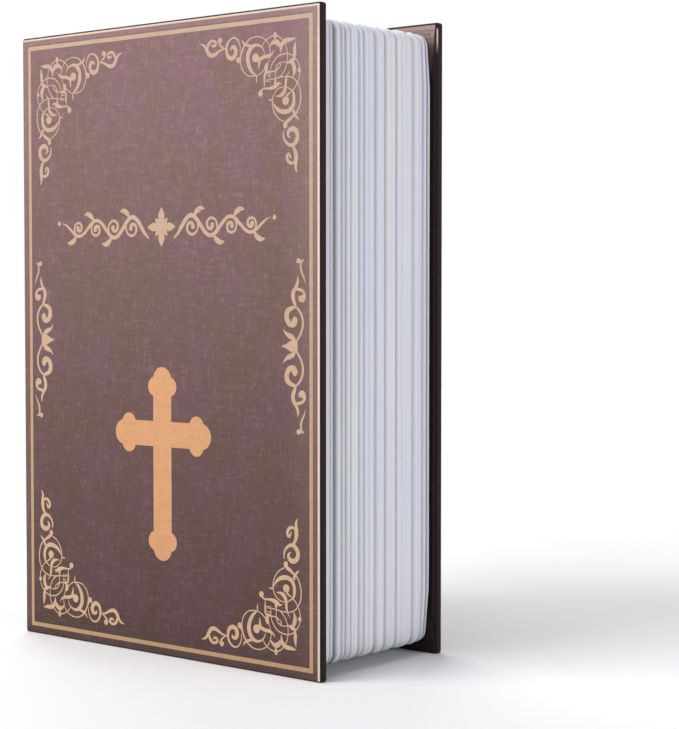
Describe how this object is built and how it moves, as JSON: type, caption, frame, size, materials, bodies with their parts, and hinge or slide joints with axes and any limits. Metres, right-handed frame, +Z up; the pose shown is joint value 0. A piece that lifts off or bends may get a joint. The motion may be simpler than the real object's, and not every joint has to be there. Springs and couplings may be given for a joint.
{
  "type": "book diversion safe",
  "caption": "Hardcover book that hides a small steel box: a hinged front cover, a ribbed page block, a hinged steel door and a cam lock that turns.",
  "frame": {"origin": "on the standing surface, midway across the book's width and thickness", "axes": "+X from the spine to the fore-edge, +Y from the front cover to the back cover, +Z up to the head of the book"},
  "size_m": [0.118, 0.054, 0.18],
  "materials": {
    "book_cloth": "printed linen-look wrap, mauve brown",
    "greyboard": "raw greyboard",
    "lining_paper": "matt brown paper",
    "page_plastic": "satin white moulding",
    "coated_steel": "fine orange-peel powder coat, slate green",
    "zinc_steel": "zinc plated",
    "lock_chrome": "polished chrome",
    "plug_nickel": "satin nickel"
  },
  "bodies": {
    "book_case": {"spine_wrap": "book_cloth", "spine_board": "greyboard", "back_cover_wrap": "book_cloth", "back_cover_board": "greyboard", "back_cover_lining": "lining_paper", "page_block": "page_plastic", "steel_tray": "coated_steel", "front_rim": "coated_steel", "catch_bracket": "zinc_steel", "rim_hinge_leaf": "coated_steel", "hinge_pin": "zinc_steel", "tray_screw_1": "zinc_steel", "tray_screw_2": "zinc_steel", "tray_screw_3": "zinc_steel", "tray_screw_4": "zinc_steel"},
    "front_cover": {"front_cover_wrap": "book_cloth", "front_cover_board": "greyboard", "front_cover_lining": "lining_paper"},
    "door": {"door_panel": "coated_steel", "door_hinge_leaf": "coated_steel", "lock_housing": "lock_chrome", "lock_washer": "zinc_steel", "lock_nut": "zinc_steel"},
    "lock_core": {"lock_plug": "plug_nickel", "lock_cam": "zinc_steel", "cam_screw": "zinc_steel"}
  },
  "joints": [
    {"name": "cover_hinge", "type": "hinge", "parent": "book_case", "child": "front_cover", "pos_m": [-0.059, -0.027, 0.09], "axis": [0, 0, -1], "range_deg": [0, 180]},
    {"name": "door_hinge", "type": "hinge", "parent": "book_case", "child": "door", "pos_m": [-0.047, -0.0216, 0.09], "axis": [0, 0, -1], "range_deg": [0, 110]},
    {"name": "lock_turn", "type": "hinge", "parent": "door", "child": "lock_core", "pos_m": [0.0321, -0.0192, 0.09], "axis": [0, 1, 0], "range_deg": [0, 90]}
  ],
  "couplings": [
    {"joint": "door_hinge", "follows": "cover_hinge", "ratio": 0.6111}
  ]
}
